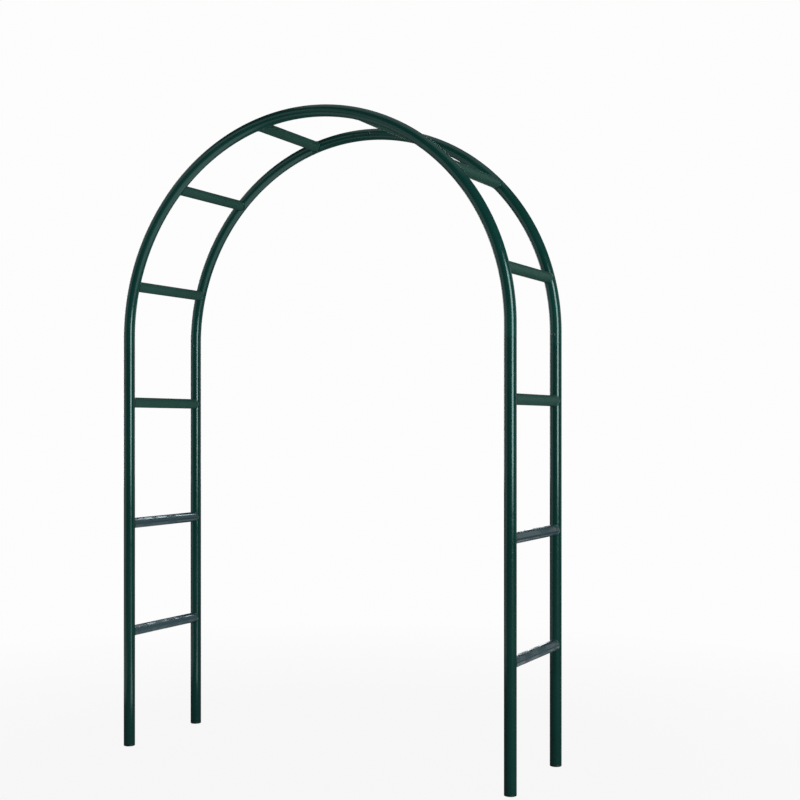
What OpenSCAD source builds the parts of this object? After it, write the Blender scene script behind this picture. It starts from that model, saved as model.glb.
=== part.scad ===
// Free-standing garden arch of round steel tube, in four welded ladder panels:
// a straight leg panel and a quarter-circle arc panel on each side of the walkway.
// A sleeve inside every tube joint takes the load, and one screw locks it.
//
// X runs across the walkway from left to right, Y runs through the arch from front to rear,
// and Z runs up from the ground. The origin is on the ground, midway between the four feet.

/* [Arch] */
// Distance between the centre lines of the left and right legs
arch_width = 1400; // [1200:10:1600]
// Distance between the centre lines of the front and rear hoops
arch_depth = 390; // [340:5:450]
// Height of the spring line, where the straight leg turns into the round arc
spring_height = 1395; // [1350:5:1500]

/* [Tubes] */
// Outer diameter of the hoop tubes
hoop_od = 38; // [36:0.5:42]
// Wall thickness of the hoop tubes
hoop_wall = 1.2; // [1:0.1:1.5]
// Outer diameter of the rungs, a little less than that of the hoop tubes
rung_od = 35; // [28:0.5:35]
// Wall thickness of the rungs
rung_wall = 1.2; // [1:0.1:1.5]
// Leg length of the weld bead round each end of a rung
bead = 3; // [2:0.5:4]

/* [Rungs] */
// Height of the lower rung of a leg panel
leg_rung_lower = 390; // [300:5:450]
// Height of the middle rung of a leg panel
leg_rung_middle = 759; // [650:1:850]
// Height of the upper rung of a leg panel
leg_rung_upper = 1173; // [1050:1:1200]
// Angle of the lower rung of an arc panel above the spring line
arc_rung_lower = 14.4; // [10:0.1:20]
// Angle from one rung of an arc panel to the next
arc_rung_pitch = 30.2; // [28:0.1:32]

/* [Joints] */
// Length of straight tube below the bend of an arc panel
arc_tail = 40; // [35:1:60]
// Length of sleeve on each side of a tube joint
sleeve_reach = 55; // [50:1:60]
// Radial play between a sleeve and the tube round it
sleeve_play = 0.3; // [0.2:0.05:0.5]
// Wall thickness of a sleeve
sleeve_wall = 1.5; // [1.2:0.1:2]
// Distance from a tube joint to the middle of its screw
screw_offset = 30; // [25:1:35]

/* [Screws] */
// Thread diameter of the joint screws
screw_d = 8; // [6:1:8]
// Length of the shank under the head
screw_length = 16; // [14:1:18]
// Diameter of the domed head
head_d = 14; // [12:0.5:16]
// Height of the domed head
head_h = 4.4; // [3.5:0.1:5]
// Width of the hexagon socket across its flats
socket_af = 5; // [4:0.5:5]
// Width of the weld nut across its flats
nut_af = 13; // [11:0.5:13]
// Thickness of the weld nut
nut_h = 6.5; // [5:0.5:7]

/* [Feet] */
// Thickness of the plug's lip under the end of the leg tube
lip_h = 5; // [3:0.5:8]
// Length of the plug inside the leg tube
plug_h = 24; // [18:1:35]
// Wall thickness of the plug's cup
plug_wall = 2.5; // [2:0.5:4]

/* [Hidden] */
SIDES = [["left", -1], ["right", 1]];
HOOPS = [["front", -1], ["rear", 1]];
LEVELS = ["lower", "middle", "upper"];

half_width = arch_width / 2;
half_depth = arch_depth / 2;
arc_radius = half_width;
leg_top = spring_height - arc_tail;
hoop_id = hoop_od - 2 * hoop_wall;
rung_id = rung_od - 2 * rung_wall;
sleeve_od = hoop_id - 2 * sleeve_play;
sleeve_id = sleeve_od - 2 * sleeve_wall;
leg_rung_heights = [leg_rung_lower, leg_rung_middle, leg_rung_upper];
arc_rung_angles = [for (i = [0:2]) arc_rung_lower + i * arc_rung_pitch];
sleeve_angle = arc_angle(sleeve_reach);
crown_screw_angle = 90 - arc_angle(screw_offset);
plug_weld_d = 8;
thread_play = 0.05;
hole_play = 0.5;
cut = 1;

paint = [0.07, 0.2, 0.17];
bare_steel = [0.62, 0.63, 0.64];
zinc = [0.72, 0.72, 0.7];
black_plastic = [0.07, 0.07, 0.075];
$fn = 96;

// The angle that a length along the centre line of the arc takes up
function arc_angle(length) = length / arc_radius * 180 / PI;

// The head's dome: distance from its centre to the head's underside
function dome_drop(rim, top) = (pow(rim, 2) - pow(top, 2) - pow(head_h, 2)) / (2 * head_h);

// Moves a shape from the foot of a hoop at the middle to one leg
module at_leg(side, hoop) {
    translate([side * half_width, hoop * half_depth, 0]) children();
}

// Stands a shape's Z axis on the inner side of a leg tube, pointing at the other hoop
module inward_from_leg(side, hoop, height) {
    at_leg(side, hoop)
        translate([0, -hoop * hoop_od / 2, height])
            rotate([hoop * 90, 0, 0]) children();
}

// The same on the arc of a hoop, at an angle above the spring line
module inward_from_arc(side, hoop, angle) {
    x = side * arc_radius * cos(angle);
    z = spring_height + arc_radius * sin(angle);
    translate([x, hoop * (half_depth - hoop_od / 2), z])
        rotate([hoop * 90, 0, 0]) children();
}

// A solid bar along a leg
module leg_bar(side, hoop, d, bottom, top) {
    at_leg(side, hoop)
        translate([0, 0, bottom]) cylinder(d = d, h = top - bottom);
}

// A solid bar bent along a hoop's arc, between two angles above the spring line
module arc_bar(side, hoop, d, from_angle, to_angle) {
    translate([0, hoop * half_depth, spring_height])
        mirror([side < 0 ? 1 : 0, 0, 0])
            rotate([90, 0, 0])
                rotate([0, 0, from_angle])
                    rotate_extrude(angle = to_angle - from_angle)
                        translate([arc_radius, 0]) circle(d = d);
}

// A solid bar through the middle of a hoop's tube, from one hoop to the other
module cross_bar(x, z, d, from_y, to_y) {
    translate([x, from_y, z])
        rotate([-90, 0, 0]) cylinder(d = d, h = to_y - from_y);
}

module leg_tube(side, hoop) {
    color(paint) difference() {
        leg_bar(side, hoop, hoop_od, lip_h, leg_top);
        leg_bar(side, hoop, hoop_id, lip_h - cut, leg_top + cut);
        inward_from_leg(side, hoop, leg_top - screw_offset)
            cylinder(d = plug_weld_d, h = hoop_od / 2, center = true);
    }
}

module arc_tube(side, hoop) {
    color(paint) difference() {
        union() {
            leg_bar(side, hoop, hoop_od, leg_top, spring_height);
            arc_bar(side, hoop, hoop_od, 0, 90);
        }
        leg_bar(side, hoop, hoop_id, leg_top - cut, spring_height);
        arc_bar(side, hoop, hoop_id, 0, 90 + arc_angle(cut));
        inward_from_leg(side, hoop, leg_top + screw_offset)
            cylinder(d = screw_d + 2 * hole_play, h = hoop_od / 2, center = true);
        if (side > 0)
            inward_from_arc(side, hoop, crown_screw_angle)
                cylinder(d = screw_d + 2 * hole_play, h = hoop_od / 2, center = true);
        else
            inward_from_arc(side, hoop, crown_screw_angle)
                cylinder(d = plug_weld_d, h = hoop_od / 2, center = true);
    }
}

// A rung of a leg panel, its ends cut to saddle the two leg tubes
module leg_rung(side, height) {
    color(paint) difference() {
        cross_bar(side * half_width, height, rung_od, -half_depth, half_depth);
        cross_bar(side * half_width, height, rung_id, -half_depth - cut, half_depth + cut);
        for (hoop = [-1, 1])
            leg_bar(side, hoop, hoop_od, height - rung_od, height + rung_od);
    }
}

// A rung of an arc panel, its ends cut to saddle the two bent tubes
module arc_rung(side, angle) {
    x = side * arc_radius * cos(angle);
    z = spring_height + arc_radius * sin(angle);
    reach = arc_angle(rung_od);
    color(paint) difference() {
        cross_bar(x, z, rung_od, -half_depth, half_depth);
        cross_bar(x, z, rung_id, -half_depth - cut, half_depth + cut);
        for (hoop = [-1, 1])
            arc_bar(side, hoop, hoop_od, angle - reach, angle + reach);
    }
}

// The bead in the corner between one end of a rung and the tube that it saddles.
// The first child is the tube itself, and the second is the tube grown by the bead.
module end_weld(x, z, hoop) {
    from_y = hoop < 0 ? -half_depth : 0;
    to_y = hoop < 0 ? 0 : half_depth;
    difference() {
        intersection() {
            cross_bar(x, z, rung_od + 2 * bead, from_y, to_y);
            children(1);
        }
        cross_bar(x, z, rung_od, from_y - cut, to_y + cut);
        children(0);
    }
}

// The plug of weld that fills a hole in the tube's wall and holds the sleeve behind it
module sleeve_weld() {
    difference() {
        intersection() {
            translate([0, 0, -hoop_od / 4])
                cylinder(d = plug_weld_d, h = hoop_od / 2, center = true);
            children(1);
        }
        children(0);
    }
}

module leg_welds(side) {
    color(paint) for (hoop = [-1, 1]) {
        for (height = leg_rung_heights)
            end_weld(side * half_width, height, hoop) {
                leg_bar(side, hoop, hoop_od, height - rung_od, height + rung_od);
                leg_bar(side, hoop, hoop_od + 2 * bead, height - rung_od, height + rung_od);
            }
        inward_from_leg(side, hoop, leg_top - screw_offset)
            sleeve_weld() {
                translate([0, 0, -hoop_od / 2]) rotate([90, 0, 0])
                    cylinder(d = sleeve_od, h = 2 * plug_weld_d, center = true);
                translate([0, 0, -hoop_od / 2]) rotate([90, 0, 0])
                    cylinder(d = hoop_od, h = 2 * plug_weld_d, center = true);
            }
    }
}

module arc_welds(side) {
    reach = arc_angle(rung_od);
    color(paint) for (hoop = [-1, 1]) {
        for (angle = arc_rung_angles) {
            x = side * arc_radius * cos(angle);
            z = spring_height + arc_radius * sin(angle);
            end_weld(x, z, hoop) {
                arc_bar(side, hoop, hoop_od, angle - reach, angle + reach);
                arc_bar(side, hoop, hoop_od + 2 * bead, angle - reach, angle + reach);
            }
        }
        if (side < 0) crown_sleeve_weld(hoop);
    }
}

// The crown sleeve is held in the left arc
module crown_sleeve_weld(hoop) {
    low = crown_screw_angle - arc_angle(plug_weld_d);
    high = crown_screw_angle + arc_angle(plug_weld_d);
    difference() {
        intersection() {
            inward_from_arc(-1, hoop, crown_screw_angle)
                translate([0, 0, -hoop_od / 4])
                    cylinder(d = plug_weld_d, h = hoop_od / 2, center = true);
            arc_bar(-1, hoop, hoop_od, low, high);
        }
        arc_bar(-1, hoop, sleeve_od, low - 1, high + 1);
    }
}

module leg_sleeve(side, hoop) {
    color(bare_steel) difference() {
        leg_bar(side, hoop, sleeve_od, leg_top - sleeve_reach, leg_top + sleeve_reach);
        leg_bar(side, hoop, sleeve_id, leg_top - sleeve_reach - cut, leg_top + sleeve_reach + cut);
        inward_from_leg(side, hoop, leg_top + screw_offset)
            cylinder(d = screw_d + 2 * hole_play, h = hoop_od / 2, center = true);
    }
}

module crown_sleeve(hoop) {
    color(bare_steel) difference() {
        union() for (side = [-1, 1])
            arc_bar(side, hoop, sleeve_od, 90 - sleeve_angle, 90);
        for (side = [-1, 1])
            arc_bar(side, hoop, sleeve_id, 90 - sleeve_angle - arc_angle(cut), 90);
        inward_from_arc(1, hoop, crown_screw_angle)
            cylinder(d = screw_d + 2 * hole_play, h = hoop_od / 2, center = true);
    }
}

// A hollow plug with three fins that grip the tube, on a lip that meets the ground
module foot_plug(side, hoop) {
    fin_h = 1.5;
    fin_pitch = (plug_h - fin_h) / 3;
    lip_chamfer = 1.2;
    core_d = hoop_id - 1;
    color(black_plastic) at_leg(side, hoop) difference() {
        union() {
            cylinder(d1 = hoop_od - 2 * lip_chamfer, d2 = hoop_od, h = lip_chamfer);
            translate([0, 0, lip_chamfer]) cylinder(d = hoop_od, h = lip_h - lip_chamfer);
            translate([0, 0, lip_h - cut]) cylinder(d = core_d, h = plug_h + cut);
            for (i = [1:3])
                translate([0, 0, lip_h + i * fin_pitch]) cylinder(d = hoop_id, h = fin_h);
        }
        translate([0, 0, lip_h]) cylinder(d = core_d - 2 * plug_wall, h = plug_h + cut);
    }
}

// A screw with a low domed head and a hexagon socket. The head stands up from Z = 0.
module joint_screw() {
    flat_top = 3.6;
    socket_depth = 2.6;
    drop = dome_drop(head_d / 2, flat_top);
    translate([0, 0, -screw_length]) cylinder(d = screw_d, h = screw_length);
    difference() {
        intersection() {
            cylinder(d = head_d, h = head_h);
            translate([0, 0, -drop]) sphere(r = norm([head_d / 2, drop]));
        }
        translate([0, 0, head_h - socket_depth])
            cylinder(d = socket_af / cos(30), h = socket_depth + cut, $fn = 6);
    }
}

// A hexagon nut that is welded to the inside of a sleeve, behind the screw's hole
module joint_nut() {
    nut_corner = nut_af / cos(30) / 2;
    face = hoop_od / 2 - sqrt(pow(sleeve_id / 2, 2) - pow(nut_corner, 2));
    translate([0, 0, -face - nut_h]) difference() {
        cylinder(r = nut_corner, h = nut_h, $fn = 6);
        translate([0, 0, -cut]) cylinder(d = screw_d + 2 * thread_play, h = nut_h + 2 * cut);
    }
}

// Puts a screw or a nut at every tube joint: four at the legs and two at the crown
module at_each_joint() {
    for (hoop = [-1, 1]) {
        for (side = [-1, 1])
            inward_from_leg(side, hoop, leg_top + screw_offset) children();
        inward_from_arc(1, hoop, crown_screw_angle) children();
    }
}

module joint_screws() {
    color(paint) at_each_joint() joint_screw();
}

module joint_nuts() {
    color(zinc) at_each_joint() joint_nut();
}

for (s = SIDES, h = HOOPS) {
    leg = str(s[0], "_", h[0]);
    leg_tube(s[1], h[1]);
    arc_tube(s[1], h[1]);
    leg_sleeve(s[1], h[1]);
    foot_plug(s[1], h[1]);
}
for (s = SIDES, i = [0:2]) {
    leg_rung_name = str(s[0], "_leg_rung_", LEVELS[i]);
    arc_rung_name = str(s[0], "_arc_rung_", LEVELS[i]);
    leg_rung(s[1], leg_rung_heights[i]);
    arc_rung(s[1], arc_rung_angles[i]);
}
for (s = SIDES) {
    leg_welds(s[1]);
    arc_welds(s[1]);
}
for (h = HOOPS)
    crown_sleeve(h[1]);
joint_screws();
joint_nuts();
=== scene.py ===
"""The looks of a garden arch of dark green steel tube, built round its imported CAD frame.

Every piece is in metres, in the frame of the CAD model: X across the walkway, Y from the front
hoop to the rear hoop, Z up from the ground. Sizes are read from the boxes of the CAD nodes.
"""

import math

import bmesh
import bpy
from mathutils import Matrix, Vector


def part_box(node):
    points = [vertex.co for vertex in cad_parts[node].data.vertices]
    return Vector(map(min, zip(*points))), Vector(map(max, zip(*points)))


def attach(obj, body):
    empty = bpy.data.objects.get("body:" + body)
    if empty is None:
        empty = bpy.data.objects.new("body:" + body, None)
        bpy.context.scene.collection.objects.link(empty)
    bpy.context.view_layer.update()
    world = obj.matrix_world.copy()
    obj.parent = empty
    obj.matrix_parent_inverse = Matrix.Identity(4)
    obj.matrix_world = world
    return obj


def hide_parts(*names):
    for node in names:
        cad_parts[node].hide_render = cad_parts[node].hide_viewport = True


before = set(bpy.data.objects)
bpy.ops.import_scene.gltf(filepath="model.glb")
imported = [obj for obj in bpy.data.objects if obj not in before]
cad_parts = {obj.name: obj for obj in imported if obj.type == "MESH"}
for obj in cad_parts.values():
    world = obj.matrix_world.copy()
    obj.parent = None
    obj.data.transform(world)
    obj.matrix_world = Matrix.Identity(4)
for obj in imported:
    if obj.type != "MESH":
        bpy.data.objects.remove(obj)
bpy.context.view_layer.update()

# ---------------------------------------------------------------- sizes, from the frame

MM = 0.001
SIDES = {"left": -1, "right": 1}
HOOPS = {"front": -1, "rear": 1}
LEVELS = ("lower", "middle", "upper")

leg_low, leg_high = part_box("right_rear_leg_tube")
arc_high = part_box("right_rear_arc_tube")[1]
plug_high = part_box("right_rear_foot_plug")[1]
sleeve_low, sleeve_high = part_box("right_rear_leg_sleeve")
welds_low, welds_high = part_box("right_leg_welds")
rung_low, rung_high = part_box("right_leg_rung_lower")

HOOP_R = (leg_high.x - leg_low.x) / 2
HALF_WIDTH = (leg_high.x + leg_low.x) / 2
HALF_DEPTH = arc_high.y - HOOP_R
LEG_FOOT = leg_low.z
JOINT_Z = leg_high.z
SPRING_Z = arc_high.z - HOOP_R - HALF_WIDTH
ARC_TAIL = SPRING_Z - JOINT_Z
RUNG_R = (rung_high.x - rung_low.x) / 2
BEAD = (welds_high.x - welds_low.x) / 2 - RUNG_R
SLEEVE_R = (sleeve_high.x - sleeve_low.x) / 2
SLEEVE_PLAY = 0.3 * MM
BORE_R = SLEEVE_R + SLEEVE_PLAY
RUNG_WALL = 1.2 * MM

# How many sides a round tube is drawn with, and how far its ends are rounded
TUBE_SIDES = 96
RIM = 0.5 * MM


def solids(node):
    """The (lowest, highest) corners of each separate solid of a CAD node, from left to right."""
    work = bmesh.new()
    work.from_mesh(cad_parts[node].data)
    bmesh.ops.remove_doubles(work, verts=work.verts, dist=0.001 * MM)
    left, found = set(work.verts), []
    while left:
        stack, corners = [left.pop()], []
        while stack:
            vert = stack.pop()
            corners.append(vert.co.copy())
            for edge in vert.link_edges:
                other = edge.other_vert(vert)
                if other in left:
                    left.remove(other)
                    stack.append(other)
        low = Vector(min(c[i] for c in corners) for i in range(3))
        high = Vector(max(c[i] for c in corners) for i in range(3))
        found.append((low, high))
    work.free()
    return sorted(found, key=lambda box: tuple(round(v, 4) for v in box[0]))


SCREWS = solids("joint_screws")
SCREW_HEAD_R = 7 * MM
# Distance along a tube from a joint to its screw, which is that to the sleeve's weld as well
SCREW_GAP = SCREWS[0][0].z + SCREW_HEAD_R - JOINT_Z


# ---------------------------------------------------------------- mesh building

def grid(rows, wrap=False):
    """Vertices and faces of a sheet of closed rings. wrap joins the last ring to the first."""
    count, around = len(rows), len(rows[0])
    verts = [point for row in rows for point in row]
    faces = []
    for i in range(count if wrap else count - 1):
        for j in range(around):
            a, b = i * around, (i + 1) % count * around
            k = (j + 1) % around
            faces.append((a + j, a + k, b + k, b + j))
    return verts, faces


def capped(rows):
    """The same, with a fan closing the first and the last ring."""
    verts, faces = grid(rows)
    around = len(rows[0])
    for first in (0, len(verts) - around):
        ring = range(first, first + around)
        middle = sum((Vector(verts[i]) for i in ring), Vector()) / around
        tip = len(verts)
        verts.append(middle)
        faces += [(i, first + (i - first + 1) % around, tip) for i in ring]
    return verts, faces


def piece(name, parts, material, slot, *nodes):
    """One mesh object of several closed parts, which stands for CAD nodes on the root body."""
    mesh = bpy.data.meshes.new(name)
    whole = bmesh.new()
    for verts, faces in parts:
        mesh.clear_geometry()
        mesh.from_pydata([tuple(v) for v in verts], [], faces)
        part = bmesh.new()
        part.from_mesh(mesh)
        bmesh.ops.recalc_face_normals(part, faces=part.faces)
        if part.calc_volume(signed=True) < 0:
            bmesh.ops.reverse_faces(part, faces=part.faces)
        part.to_mesh(mesh)
        part.free()
        whole.from_mesh(mesh)
    whole.to_mesh(mesh)
    whole.free()
    mesh.shade_smooth()
    mesh.set_sharp_from_angle(angle=math.radians(50))
    mesh.materials.append(material)
    made = bpy.data.objects.new(name, mesh)
    bpy.context.scene.collection.objects.link(made)
    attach(made, "root")
    if nodes:
        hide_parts(*nodes)
    return made


def spread(start, end, count):
    """Evenly spaced values from start to end, both included."""
    return [start + (end - start) * i / (count - 1) for i in range(count)]


def angles(count):
    return [math.tau * i / count for i in range(count)]


def rolled_rim():
    """Profile points (s, r) round the end of a hoop tube at s = 0, from its side to its end face."""
    return [
        (RIM * (1 - math.sin(t)), HOOP_R - RIM * (1 - math.cos(t)))
        for t in spread(0, math.pi / 2, 5)
    ]


# ---------------------------------------------------------------- centre lines of the tubes

def leg_line(side, hoop):
    """The centre line of a leg tube: s is the height over its foot end."""
    def at(s):
        centre = Vector((side * HALF_WIDTH, hoop * HALF_DEPTH, LEG_FOOT + s))
        return centre, Vector((side, 0, 0)), Vector((0, 1, 0))
    return at


def arc_line(side, hoop):
    """The centre line of an arc tube: s runs up its straight tail and then round the bend."""
    def at(s):
        turn = max(0.0, s - ARC_TAIL) / HALF_WIDTH
        outward = Vector((side * math.cos(turn), 0, math.sin(turn)))
        centre = Vector((0, hoop * HALF_DEPTH, SPRING_Z)) + outward * HALF_WIDTH
        centre.z -= max(0.0, ARC_TAIL - s)
        return centre, outward, Vector((0, 1, 0))
    return at


def on_tube(line, s, turn, radius):
    """A point at a distance s along a tube, at an angle round it and a radius from its middle."""
    centre, outward, across = line(s)
    return centre + (outward * math.cos(turn) + across * math.sin(turn)) * radius


LEG_LENGTH = JOINT_Z - LEG_FOOT
ARC_LENGTH = ARC_TAIL + HALF_WIDTH * math.pi / 2


def stock_tube(line, length, step):
    """A length of tube stock: outside, rolled rims and bore, as one closed solid."""
    rows = max(3, round(length / step))
    heights = [RIM] + spread(2 * RIM, length - 2 * RIM, rows) + [length - RIM]
    outside = [(s, HOOP_R) for s in heights]
    bore = [(s, BORE_R) for s in spread(length - RIM / 2, RIM / 2, rows)]
    near_rim = rolled_rim()
    far_rim = [(length - s, r) for s, r in near_rim]
    profile = outside + far_rim[1:] + bore + near_rim[:0:-1]
    ring = angles(TUBE_SIDES)
    return grid([[on_tube(line, s, t, r) for t in ring] for s, r in profile], wrap=True)


# ---------------------------------------------------------------- saddle joints of the rungs

class RungPlace:
    """Where a rung crosses its panel, and how its ends meet the two hoop tubes."""

    def __init__(self, node, side, bent):
        low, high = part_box(node)
        self.middle = Vector(((low.x + high.x) / 2, 0, (low.z + high.z) / 2))
        self.bent = bent
        if bent:
            self.outward = (self.middle - Vector((0, 0, SPRING_Z))).normalized()
        else:
            self.outward = Vector((side, 0, 0))
        self.along = Vector((-self.outward.z, 0, self.outward.x))

    def offset(self, a, b):
        """How far a point, a outward and b along, is from the hoop's centre line, seen along Y."""
        return math.hypot(HALF_WIDTH + a, b) - HALF_WIDTH if self.bent else a

    def reach(self, a, b):
        """How far from Y = 0 the hoop tube's surface lies at that point."""
        return HALF_DEPTH - math.sqrt(HOOP_R**2 - self.offset(a, b) ** 2)

    def point(self, a, b, y):
        return self.middle + self.outward * a + self.along * b + Vector((0, y, 0))

    def hoop_normal(self, a, b, hoop):
        """The outward normal of the hoop tube where it meets the rung."""
        offset = self.offset(a, b)
        if self.bent:
            radial = (self.outward * (HALF_WIDTH + a) + self.along * b).normalized()
        else:
            radial = self.outward
        depth = math.sqrt(HOOP_R**2 - offset**2)
        return (radial * offset - Vector((0, hoop * depth, 0))) / HOOP_R


def rung_tube(place):
    """A rung: a tube whose ends are cut to saddle the hoop tubes and sunk a little into them."""
    sink, rows = 0.3 * MM, 25
    ring = angles(TUBE_SIDES)
    outer, inner = RUNG_R, RUNG_R - RUNG_WALL

    def row(share, radius):
        points = []
        for t in ring:
            a, b = radius * math.cos(t), radius * math.sin(t)
            points.append(place.point(a, b, share * (place.reach(a, b) + sink)))
        return points

    outside = [row(share, outer) for share in spread(-1, 1, rows)]
    bore = [row(share, inner) for share in spread(1, -1, rows)]
    return grid(outside + bore, wrap=True)


def ripple(length, across, seed):
    """The height of a weld bead at a length along it, from about 0.7 to 1.1 of its full height.

    The ripples are scallops one pitch apart, bent into chevrons across the bead, and the welder's
    hand makes their spacing drift and the bead swell.
    """
    pitch = 1.9 * MM
    drift = 0.35 * math.sin(length / (9 * MM) + seed)
    drift += 0.2 * math.sin(length / (4.1 * MM) + 2 * seed)
    chevron = 0.55 * (1 - (2 * across - 1) ** 2)
    scallop = abs(math.sin(math.pi * (length / pitch + drift - chevron))) ** 0.7
    swell = 0.06 * math.sin(length / (13 * MM) + 3 * seed)
    return 0.78 + 0.24 * scallop + swell


def saddle_bead(place, hoop, seed):
    """The weld bead round one end of a rung: a rippled fillet from the rung to the hoop tube."""
    rings, steps = 420, 11
    root_depth, edge_depth = 0.4 * MM, 0.12 * MM
    girth = math.tau * RUNG_R
    toward_middle = Vector((0, -hoop, 0))
    rows = []
    for i in range(rings):
        t = math.tau * i / rings
        a, b = RUNG_R * math.cos(t), RUNG_R * math.sin(t)
        root = place.point(a, b, hoop * place.reach(a, b))
        off_rung = (place.outward * math.cos(t) + place.along * math.sin(t)).normalized()
        off_hoop = place.hoop_normal(a, b, hoop)
        up_hoop = (off_rung - off_hoop * off_rung.dot(off_hoop)).normalized()
        out = (off_rung + off_hoop).normalized()
        length = girth * i / rings
        wander = 0.07 * math.sin(length / (7 * MM) + seed)
        wander += 0.05 * math.sin(length / (2.7 * MM) - seed)
        leg = 0.92 * BEAD * (1 + wander)
        toe, heel = root + toward_middle * leg, root + up_hoop * leg
        bulge = 0.2 * BEAD + 0.12 * BEAD * max(0.0, off_rung.dot(off_hoop))
        row = []
        for share in spread(0, 1, steps):
            flat = toe.lerp(heel, share)
            rise = 4 * share * (1 - share) * bulge * ripple(length, share, seed)
            sunk = edge_depth if share in (0, 1) else 0.0
            row.append(flat + out * (rise - sunk))
        row.append(root - out * root_depth)
        rows.append(row)
    return grid(rows, wrap=True)


# ---------------------------------------------------------------- small parts

def sleeve_weld_spot(line, s, turn):
    """The ground-off plug weld that holds a sleeve: a low smooth disc on the tube's wall."""
    radius, rise, edge_depth = 4.3 * MM, 0.16 * MM, 0.1 * MM
    root_r = HOOP_R - 0.5 * MM
    count = 48
    rows = []
    for share in spread(1, 0.04, 12):
        height = rise * (1 - share**4) - (edge_depth if share == 1 else 0)
        row = []
        for t in angles(count):
            wobble = 1 + 0.04 * math.sin(3 * t + s * 90) + 0.03 * math.sin(5 * t)
            ahead = share * radius * wobble * math.sin(t)
            round_by = share * radius * wobble * math.cos(t) / HOOP_R
            row.append(on_tube(line, s + ahead, turn + round_by, HOOP_R + height))
        rows.append(row)
    buried = [
        on_tube(line, s + radius * math.sin(t), turn + radius * math.cos(t) / HOOP_R, root_r)
        for t in angles(count)
    ]
    return capped([buried] + rows)


def button_screw(low, high):
    """A button-head screw with a hexagon socket, in the place of one CAD screw."""
    inward = -1 if low.y + high.y > 0 else 1
    seat = HALF_DEPTH - HOOP_R
    base = Vector(((low.x + high.x) / 2, -inward * seat, (low.z + high.z) / 2))
    head_r = (high.x - low.x) / 2
    crest = seat - min(abs(low.y), abs(high.y))
    shank_end = max(abs(low.y), abs(high.y)) - seat
    socket_r, socket_depth, shank_r = 2.5 * MM, 2.6 * MM, 4.0 * MM
    mouth_r, flat_top, lip, chamfer = 3.2 * MM, 3.6 * MM, 0.35 * MM, 0.8 * MM
    drop = (head_r**2 - flat_top**2 - crest**2) / (2 * crest)
    dome_r = math.hypot(head_r, drop)
    count = 96

    def hexagon(t):
        return socket_r / math.cos((t + math.pi / 6) % (math.pi / 3) - math.pi / 6)

    def ring(height, radius):
        return [(height, radius(t) if callable(radius) else radius, t) for t in angles(count)]

    rings = [ring(crest - socket_depth - 0.7 * MM, 0.3 * MM)]
    rings.append(ring(crest - socket_depth, lambda t: 0.9 * hexagon(t)))
    rings.append(ring(crest - socket_depth + 0.15 * MM, hexagon))
    rings.append(ring(crest - 0.25 * MM, hexagon))
    rings.append(ring(crest - 0.05 * MM, lambda t: 0.35 * hexagon(t) + 0.65 * mouth_r))
    rings.append(ring(crest, 3.35 * MM))
    top_turn, rim_turn = math.asin(flat_top / dome_r), math.asin(head_r / dome_r)
    for turn in spread(top_turn, rim_turn, 14)[:-1]:
        rings.append(ring(dome_r * math.cos(turn) - drop, dome_r * math.sin(turn)))
    for turn in spread(0, math.pi / 2, 5):
        rings.append(ring(lip * (1 - math.sin(turn)), head_r - lip * (1 - math.cos(turn))))
    rings.append(ring(0, shank_r + 0.4 * MM))
    rings.append(ring(-0.4 * MM, shank_r))
    rings.append(ring(chamfer - shank_end, shank_r))
    rings.append(ring(-shank_end, shank_r - chamfer))
    rows = [
        [base + Vector((r * math.cos(t), inward * h, r * math.sin(t))) for h, r, t in one]
        for one in rings
    ]
    return capped(rows)


def foot_plug(side, hoop):
    """A moulded plug: a rounded lip under the tube, a hollow stem, and three grip fins."""
    lip_h, total_h = LEG_FOOT, plug_high.z
    stem_r, cup_r, hub_r = BORE_R - 0.5 * MM, BORE_R - 3 * MM, 2 * MM
    fins, fin_h, fin_slope = 3, 1.5 * MM, 0.3 * MM
    pitch = (total_h - lip_h - fin_h) / fins
    lip_round = 1.6 * MM
    profile = [(0, hub_r), (0, 0.5 * HOOP_R), (0, HOOP_R - lip_round - 0.6 * MM)]
    profile += [
        (lip_round * (1 - math.cos(t)), HOOP_R - lip_round * (1 - math.sin(t)))
        for t in spread(0.25, math.pi / 2, 8)
    ]
    profile += [(lip_h - 0.4 * MM, HOOP_R), (lip_h - 0.1 * MM, HOOP_R - 0.15 * MM)]
    profile += [(lip_h, HOOP_R - 0.5 * MM), (lip_h, stem_r)]
    for i in range(1, fins + 1):
        low, high = lip_h + i * pitch, lip_h + i * pitch + fin_h
        profile += [(low, stem_r), (low + fin_slope, BORE_R)]
        profile += [(high - fin_slope, BORE_R), (high, stem_r)]
    profile += [(total_h, cup_r), (lip_h + 1 * MM, cup_r), (lip_h, cup_r - 1 * MM)]
    profile.append((lip_h, hub_r))
    middle = Vector((side * HALF_WIDTH, hoop * HALF_DEPTH, 0))
    rows = [
        [middle + Vector((r * math.cos(t), r * math.sin(t), z)) for t in angles(TUBE_SIDES)]
        for z, r in profile
    ]
    return capped(rows)


# ---------------------------------------------------------------- materials
# Object coordinates are in metres, so the scale of a noise is about its features per metre.

def nodes_of(name):
    """A new material with its node tree, its principled shader and its object coordinates."""
    material = bpy.data.materials.new(name)
    material.use_nodes = True
    tree = material.node_tree
    shader = tree.nodes["Principled BSDF"]
    place = tree.nodes.new("ShaderNodeTexCoord").outputs["Object"]
    return material, tree, shader, place


def noise(tree, place, scale, detail=3.0, roughness=0.55):
    """A noise from 0 to 1, mostly between 0.3 and 0.7."""
    node = tree.nodes.new("ShaderNodeTexNoise")
    node.inputs["Scale"].default_value = scale
    node.inputs["Detail"].default_value = detail
    node.inputs["Roughness"].default_value = roughness
    tree.links.new(place, node.inputs["Vector"])
    return node.outputs["Fac"]


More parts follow.
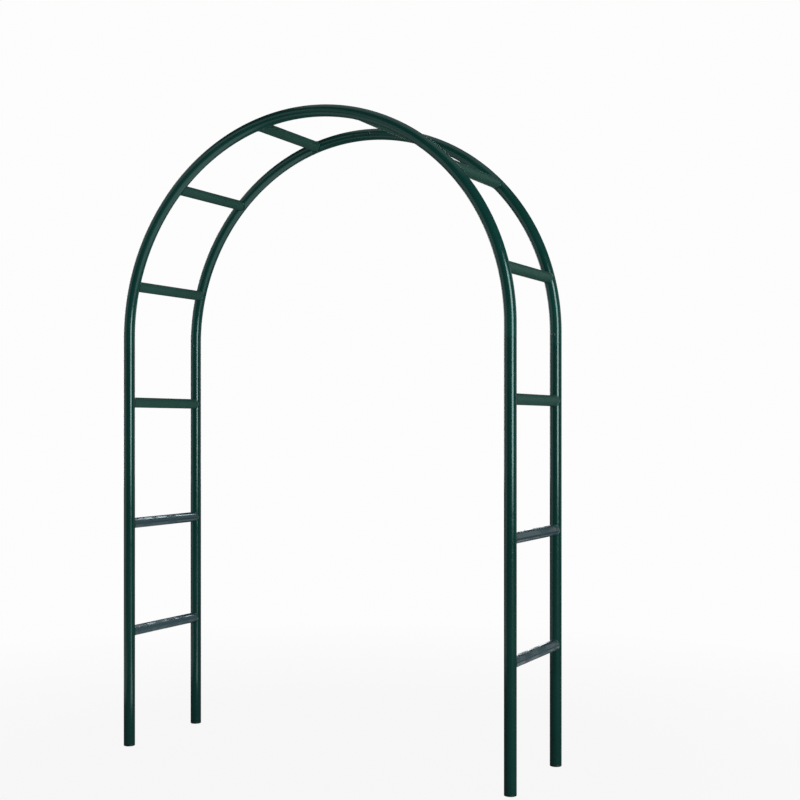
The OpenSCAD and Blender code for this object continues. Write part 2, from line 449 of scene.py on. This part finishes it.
def remap(tree, value, from_low, from_high, to_low, to_high):
    """The value stretched from one range to another, and held inside it."""
    node = tree.nodes.new("ShaderNodeMapRange")
    for socket, number in (("From Min", from_low), ("From Max", from_high),
                           ("To Min", to_low), ("To Max", to_high)):
        node.inputs[socket].default_value = number
    tree.links.new(value, node.inputs["Value"])
    return node.outputs["Result"]


def maths(tree, operation, first, second):
    """The sum or product of two values, each a number or a socket."""
    node = tree.nodes.new("ShaderNodeMath")
    node.operation = operation
    for socket, value in zip(node.inputs, (first, second)):
        if isinstance(value, (int, float)):
            socket.default_value = value
        else:
            tree.links.new(value, socket)
    return node.outputs[0]


def mixed(tree, factor, first, second):
    """A blend of two colours, each a tuple or a socket."""
    node = tree.nodes.new("ShaderNodeMix")
    node.data_type = "RGBA"
    tree.links.new(factor, node.inputs["Factor"])
    for socket, value in ((node.inputs["A"], first), (node.inputs["B"], second)):
        if isinstance(value, tuple):
            socket.default_value = (*value, 1)
        else:
            tree.links.new(value, socket)
    return node.outputs["Result"]


def bumped(tree, shader, layers):
    """Joins bump layers, each (height, distance in metres), one on top of the other."""
    normal = None
    for height, distance in layers:
        node = tree.nodes.new("ShaderNodeBump")
        node.inputs["Strength"].default_value = 1.0
        node.inputs["Distance"].default_value = distance
        tree.links.new(height, node.inputs["Height"])
        if normal is not None:
            tree.links.new(normal, node.inputs["Normal"])
        normal = node.outputs["Normal"]
    tree.links.new(normal, shader.inputs["Normal"])


def up_share(tree):
    """How far the surface faces up, from 0 on a wall to 1 on a level top."""
    geometry = tree.nodes.new("ShaderNodeNewGeometry")
    split = tree.nodes.new("ShaderNodeSeparateXYZ")
    tree.links.new(geometry.outputs["Normal"], split.inputs[0])
    return remap(tree, split.outputs["Z"], 0.25, 0.95, 0.0, 1.0)


def height_of(tree, place):
    """The height over the ground, in metres."""
    split = tree.nodes.new("ShaderNodeSeparateXYZ")
    tree.links.new(place, split.inputs[0])
    return split.outputs["Z"]


# The darkest and the lightest tone of each paint, the tint of its shine, and what settles on it
PAINT_DEEP = (0.0030, 0.0360, 0.0290)
PAINT_LIGHT = (0.0060, 0.0520, 0.0430)
# The rung tones are lighter than the tube paint's: painted light, for the soft light that falls on the
# rungs.
PAINTED_LIGHT_BAR_DEEP = (0.0180, 0.0620, 0.0490)
PAINTED_LIGHT_BAR_PALE = (0.0250, 0.0820, 0.0650)
# The low rungs' tones are lighter and bluer than the tube paint's: painted light and a painted
# reflection of blue light.
BLUE_REFLECTION_BAR_DEEP = (0.0170, 0.0400, 0.0520)
BLUE_REFLECTION_BAR_PALE = (0.0240, 0.0560, 0.0700)
SHEEN = (0.70, 1.0, 0.96)
DUST = (0.085, 0.088, 0.072)
SOIL = (0.060, 0.048, 0.032)


def powder_coat(name, deep, light, gloss, peel, specular=0.5, patch_scale=55.0, patch_edge=0.2):
    """Dark green powder coat: cloudy tone, orange peel, dust on top and splashes near the ground.

    deep and light are the ends of its range of tone, and gloss those of its roughness, which changes
    in patches: a larger patch_scale makes them smaller, and a smaller patch_edge makes them sharper.
    peel is the depth of the orange peel, in metres.
    """
    material, tree, shader, place = nodes_of(name)
    cloud = remap(tree, noise(tree, place, 7.0, 4.0), 0.3, 0.7, 0.0, 1.0)
    fleck = remap(tree, noise(tree, place, 1400.0, 2.0), 0.35, 0.7, 0.0, 0.5)
    tone = maths(tree, "ADD", maths(tree, "MULTIPLY", cloud, 0.6), fleck)
    paint = mixed(tree, tone, deep, light)
    patchy = remap(tree, noise(tree, place, 38.0, 5.0, 0.65), 0.42, 0.72, 0.0, 1.0)
    dust = maths(tree, "MULTIPLY", maths(tree, "MULTIPLY", up_share(tree), patchy), 0.12)
    low = remap(tree, height_of(tree, place), 0.0, 0.12, 1.0, 0.0)
    spatter = remap(tree, noise(tree, place, 260.0, 3.0, 0.7), 0.56, 0.68, 0.0, 1.0)
    splash = maths(tree, "MULTIPLY", maths(tree, "MULTIPLY", low, spatter), 0.25)
    dusty = mixed(tree, dust, paint, DUST)
    tree.links.new(mixed(tree, splash, dusty, SOIL), shader.inputs["Base Color"])
    patches = noise(tree, place, patch_scale, 2.0)
    smooth = remap(tree, patches, 0.5 - patch_edge, 0.5 + patch_edge, *gloss)
    dirt = maths(tree, "ADD", dust, maths(tree, "MULTIPLY", splash, 0.8))
    tree.links.new(maths(tree, "ADD", smooth, dirt), shader.inputs["Roughness"])
    shader.inputs["Specular Tint"].default_value = (*SHEEN, 1)
    shader.inputs["Specular IOR Level"].default_value = specular
    bumped(tree, shader, [
        (noise(tree, place, 330.0, 2.0, 0.5), peel),
        (noise(tree, place, 1500.0, 1.0, 0.5), 0.15 * peel),
    ])
    return material


def bare_zinc(name, colour, rough):
    """Zinc-plated steel: a fine spangle in tone and gloss, over a slightly uneven surface."""
    material, tree, shader, place = nodes_of(name)
    spangle = noise(tree, place, 420.0, 3.0, 0.6)
    darker = tuple(0.72 * c for c in colour)
    tree.links.new(mixed(tree, remap(tree, spangle, 0.3, 0.7, 0.0, 1.0), darker, colour),
                   shader.inputs["Base Color"])
    tree.links.new(remap(tree, spangle, 0.3, 0.7, rough - 0.08, rough + 0.1),
                   shader.inputs["Roughness"])
    shader.inputs["Metallic"].default_value = 1.0
    bumped(tree, shader, [(noise(tree, place, 900.0, 2.0), 0.02 * MM)])
    return material


def moulded_plastic(name):
    """Black moulded plastic: fine spark-eroded grain, a little bloom, and soil round the rim."""
    material, tree, shader, place = nodes_of(name)
    bloom = remap(tree, noise(tree, place, 60.0, 4.0), 0.35, 0.75, 0.0, 1.0)
    plastic = mixed(tree, bloom, (0.006, 0.0062, 0.0065), (0.014, 0.0145, 0.015))
    low = remap(tree, height_of(tree, place), 0.0, 0.004, 0.5, 0.0)
    patch = remap(tree, noise(tree, place, 170.0, 4.0, 0.7), 0.4, 0.65, 0.0, 1.0)
    tree.links.new(mixed(tree, maths(tree, "MULTIPLY", low, patch), plastic, SOIL),
                   shader.inputs["Base Color"])
    tree.links.new(remap(tree, noise(tree, place, 120.0, 3.0), 0.3, 0.7, 0.42, 0.58),
                   shader.inputs["Roughness"])
    bumped(tree, shader, [(noise(tree, place, 2200.0, 2.0, 0.6), 0.04 * MM)])
    return material


tube_paint = powder_coat("tube_paint", PAINT_DEEP, PAINT_LIGHT, (0.13, 0.19), 0.022 * MM)
weld_paint = powder_coat("weld_paint", PAINT_DEEP, PAINT_LIGHT, (0.24, 0.32), 0.020 * MM)
# The screw heads take tones lighter than the tube paint's: a painted highlight on their domed heads.
screw_paint = powder_coat("screw_paint", PAINT_LIGHT, PAINTED_LIGHT_BAR_PALE, (0.22, 0.32), 0.010 * MM)
# The high rungs are chalky, and take the lighter rung tones, which are painted light. The low ones are
# glossy in patches, and take the bluer tones, a painted reflection of blue light.
rung_paint = powder_coat("rung_paint", PAINTED_LIGHT_BAR_DEEP, PAINTED_LIGHT_BAR_PALE, (0.42, 0.52), 0.020 * MM, specular=0.12)
blue_reflection_rung_paint = powder_coat("blue_reflection_rung_paint", BLUE_REFLECTION_BAR_DEEP, BLUE_REFLECTION_BAR_PALE, (0.10, 0.48), 0.020 * MM,
                             specular=0.7, patch_scale=17.0, patch_edge=0.06)
sleeve_steel = bare_zinc("sleeve_steel", (0.46, 0.47, 0.49), 0.34)
nut_steel = bare_zinc("nut_steel", (0.55, 0.55, 0.52), 0.3)
plug_plastic = moulded_plastic("plug_plastic")

# ---------------------------------------------------------------- the pieces

# Pieces that some lamps are kept to
left_legs, arcs, rungs, low_rungs = [], [], [], []

for side_name, side in SIDES.items():
    for hoop_name, hoop in HOOPS.items():
        leg = f"{side_name}_{hoop_name}"
        made = piece(f"{leg}_leg", [stock_tube(leg_line(side, hoop), LEG_LENGTH, 25 * MM)],
                     tube_paint, "tube_paint", f"{leg}_leg_tube")
        if side_name == "left":
            left_legs.append(made)
        made = piece(f"{leg}_arc", [stock_tube(arc_line(side, hoop), ARC_LENGTH, 10 * MM)],
                     tube_paint, "tube_paint", f"{leg}_arc_tube")
        arcs.append(made)
        piece(f"{leg}_plug", [foot_plug(side, hoop)], plug_plastic, "plug_plastic", f"{leg}_foot_plug")

for side_name, side in SIDES.items():
    for panel in ("leg", "arc"):
        parts = []
        for i, level in enumerate(LEVELS):
            node = f"{side_name}_{panel}_rung_{level}"
            place = RungPlace(node, side, panel == "arc")
            is_low = panel == "leg" and level != "upper"
            # Low crossbars get the tones with the painted blue reflection, the others the tones with
            # painted light.
            made = piece(f"{side_name}_{panel}_{level}_crossbar", [rung_tube(place)],
                         blue_reflection_rung_paint if is_low else rung_paint, "rung_paint", node)
            rungs.append(made)
            if is_low:
                low_rungs.append(made)
            for hoop in HOOPS.values():
                seed = 1.7 * i + side + 0.6 * hoop + len(panel)
                parts.append(saddle_bead(place, hoop, seed))
        for hoop in HOOPS.values():
            inward = -hoop * math.pi / 2
            if panel == "leg":
                line, top = leg_line(side, hoop), LEG_LENGTH
                parts.append(sleeve_weld_spot(line, top - SCREW_GAP, inward))
            elif side_name == "left":
                line, top = arc_line(side, hoop), ARC_LENGTH
                parts.append(sleeve_weld_spot(line, top - SCREW_GAP, inward))
        piece(f"{side_name}_{panel}_beads", parts, weld_paint, "weld_paint",
              f"{side_name}_{panel}_welds")

piece("joint_screw_set", [button_screw(low, high) for low, high in SCREWS],
      screw_paint, "screw_paint", "joint_screws")

for name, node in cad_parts.items():
    if name.endswith("_sleeve"):
        node.material_slots[0].material = sleeve_steel
    elif name == "joint_nuts":
        node.material_slots[0].material = nut_steel

# ---------------------------------------------------------------- stage, light and camera

# How bright the camera sees the backdrop, and the two tones of floor that the lamps light
BACKDROP = 0.98
FLOOR_TONES = (0.20, 0.20, 0.20), (0.22, 0.22, 0.22)


def camera_rays(tree):
    """1 for what the camera sees directly, and 0 for light and reflections."""
    return tree.nodes.new("ShaderNodeLightPath").outputs["Is Camera Ray"]


def pale_floor(width):
    """A wide, plain floor, which the camera sees nearly as bright as the backdrop, and just as
    bright farther out.
    """
    material, tree, shader, place = nodes_of("floor")
    shade = remap(tree, noise(tree, place, 3.0, 2.0), 0.3, 0.7, 0.0, 1.0)
    tree.links.new(mixed(tree, shade, *FLOOR_TONES), shader.inputs["Base Color"])
    shader.inputs["Roughness"].default_value = 0.9
    shader.inputs["Specular IOR Level"].default_value = 0.1
    glow = tree.nodes.new("ShaderNodeEmission")
    glow.inputs["Strength"].default_value = BACKDROP
    distance = tree.nodes.new("ShaderNodeVectorMath")
    distance.operation = "LENGTH"
    tree.links.new(place, distance.inputs[0])
    share = remap(tree, distance.outputs["Value"], 1.0, 3.0, 0.94, 1.0)
    blend = tree.nodes.new("ShaderNodeMixShader")
    tree.links.new(maths(tree, "MULTIPLY", share, camera_rays(tree)), blend.inputs[0])
    tree.links.new(shader.outputs[0], blend.inputs[1])
    tree.links.new(glow.outputs[0], blend.inputs[2])
    tree.links.new(blend.outputs[0], tree.nodes["Material Output"].inputs["Surface"])
    mesh = bpy.data.meshes.new("floor")
    half = width / 2
    mesh.from_pydata([(-half, -half, 0), (half, -half, 0), (half, half, 0), (-half, half, 0)], [],
                     [(0, 1, 2, 3)])
    mesh.materials.append(material)
    floor = bpy.data.objects.new("floor", mesh)
    bpy.context.scene.collection.objects.link(floor)


def light_only(lamp, receivers):
    """Keeps a lamp's light to the given pieces."""
    lit = bpy.data.collections.new(lamp.name)
    for receiver in receivers:
        lit.objects.link(receiver)
    lamp.light_linking.receiver_collection = lit


def area_lamp(name, size, radiance, colour=(1, 1, 1)):
    """A rectangular lamp of an even radiance, which the camera doesn't see."""
    data = bpy.data.lights.new(name, "AREA")
    data.shape = "RECTANGLE"
    data.size, data.size_y = size
    data.energy = radiance * math.pi * size[0] * size[1]
    data.color = colour
    lamp = bpy.data.objects.new(name, data)
    lamp.visible_camera = False
    bpy.context.scene.collection.objects.link(lamp)
    return lamp


def heading(azimuth):
    """The level direction at an azimuth: 0 is toward the front of the arch, and 90 to its right."""
    turn = math.radians(azimuth)
    return Vector((math.sin(turn), -math.cos(turn), 0))


def softbox(name, azimuth, distance, height, size, radiance, colour=(1, 1, 1), aim_height=1.0):
    """A lamp at some distance from the arch, turned to a height over its middle."""
    lamp = area_lamp(name, size, radiance, colour)
    lamp.location = heading(azimuth) * distance + Vector((0, 0, height))
    aim = Vector((0, 0, aim_height)) - lamp.location
    lamp.rotation_euler = aim.to_track_quat("-Z", "Y").to_euler()
    return lamp


def floor_strip(name, x, azimuth, near, far, width, radiance):
    """A lamp that lies on the ground and shines up. It runs from near to far of X = x, Y = 0."""
    lamp = area_lamp(name, (width, far - near), radiance)
    lamp.location = heading(azimuth) * (near + far) / 2 + Vector((x, 0, 10 * MM))
    lamp.rotation_euler = (math.pi, 0, math.radians(azimuth))
    return lamp


def studio_world(ambient):
    """A white backdrop for the camera, and a dimmer even light for everything else."""
    world = bpy.data.worlds.new("studio")
    world.use_nodes = True
    tree = world.node_tree
    back = tree.nodes["Background"]
    strength = remap(tree, camera_rays(tree), 0.0, 1.0, ambient, BACKDROP)
    tree.links.new(strength, back.inputs["Strength"])
    back.inputs["Color"].default_value = (1, 1, 1, 1)
    bpy.context.scene.world = world


pale_floor(80)
studio_world(ambient=0.03)

# The main light, and soft ones round the arch
softbox("key", azimuth=67, distance=7, height=2.6, size=(3.2, 4.0), radiance=9.0, aim_height=2.6)
softbox("left", azimuth=-60, distance=5.7, height=2.4, size=(7.0, 5.0), radiance=0.65,
        aim_height=1.2)
softbox("right_rear", azimuth=150, distance=8, height=2.0, size=(6.0, 5.0), radiance=0.35,
        aim_height=1.2)
# The pale blue streak on top of the low rungs
back_top = softbox("back_top", azimuth=185, distance=6, height=4.6, size=(3.5, 1.6), radiance=6.0,
                   colour=(0.85, 0.94, 1.0), aim_height=0.6)
light_only(back_top, low_rungs)
# Highlights for the views from behind
softbox("rear_rim", azimuth=255, distance=6.5, height=3.8, size=(4.0, 4.0), radiance=0.8,
        aim_height=1.4)
softbox("rear_strip", azimuth=238, distance=7, height=2.4, size=(1.4, 3.6), radiance=4.0,
        aim_height=1.8)
softbox("overhead", azimuth=0, distance=0.01, height=6, size=(5, 5), radiance=0.5, aim_height=0)
softbox("rear_key", azimuth=198, distance=7, height=2.6, size=(1.6, 4.0), radiance=2.5,
        aim_height=2.2)
# Bright ground for the paint to mirror
floor_strip("left_bounce", x=0, azimuth=-65, near=1.4, far=6.0, width=3.0, radiance=0.5)
left_strip = floor_strip("left_strip", x=-HALF_WIDTH, azimuth=73, near=0.7, far=7.0, width=0.6,
                         radiance=2.3)
light_only(left_strip, left_legs)
rung_fill = softbox("rung_fill", azimuth=26, distance=4, height=1.05, size=(7.0, 2.0), radiance=0.9)
light_only(rung_fill, rungs)
arc_bounce = floor_strip("arc_bounce", x=0, azimuth=78, near=-0.5, far=7.0, width=3.6, radiance=0.95)
light_only(arc_bounce, arcs)
rung_bounce = floor_strip("rung_bounce", x=0, azimuth=26, near=-1.5, far=3.5, width=4.0,
                          radiance=0.45)
light_only(rung_bounce, rungs)

# The photo's viewpoint, at 1.1 m over the ground, with the camera level
CAMERA_AZIMUTH = 26.58
camera_data = bpy.data.cameras.new("camera")
camera_data.sensor_width = 36.0
camera_data.lens = 60.7
camera_data.shift_y = 0.0315
camera = bpy.data.objects.new("camera", camera_data)
camera.location = (2.193, -3.908, 1.095)
camera.rotation_euler = (math.radians(90), 0, math.radians(CAMERA_AZIMUTH))
bpy.context.scene.collection.objects.link(camera)
bpy.context.scene.camera = camera
bpy.context.scene.view_settings.view_transform = "Standard"
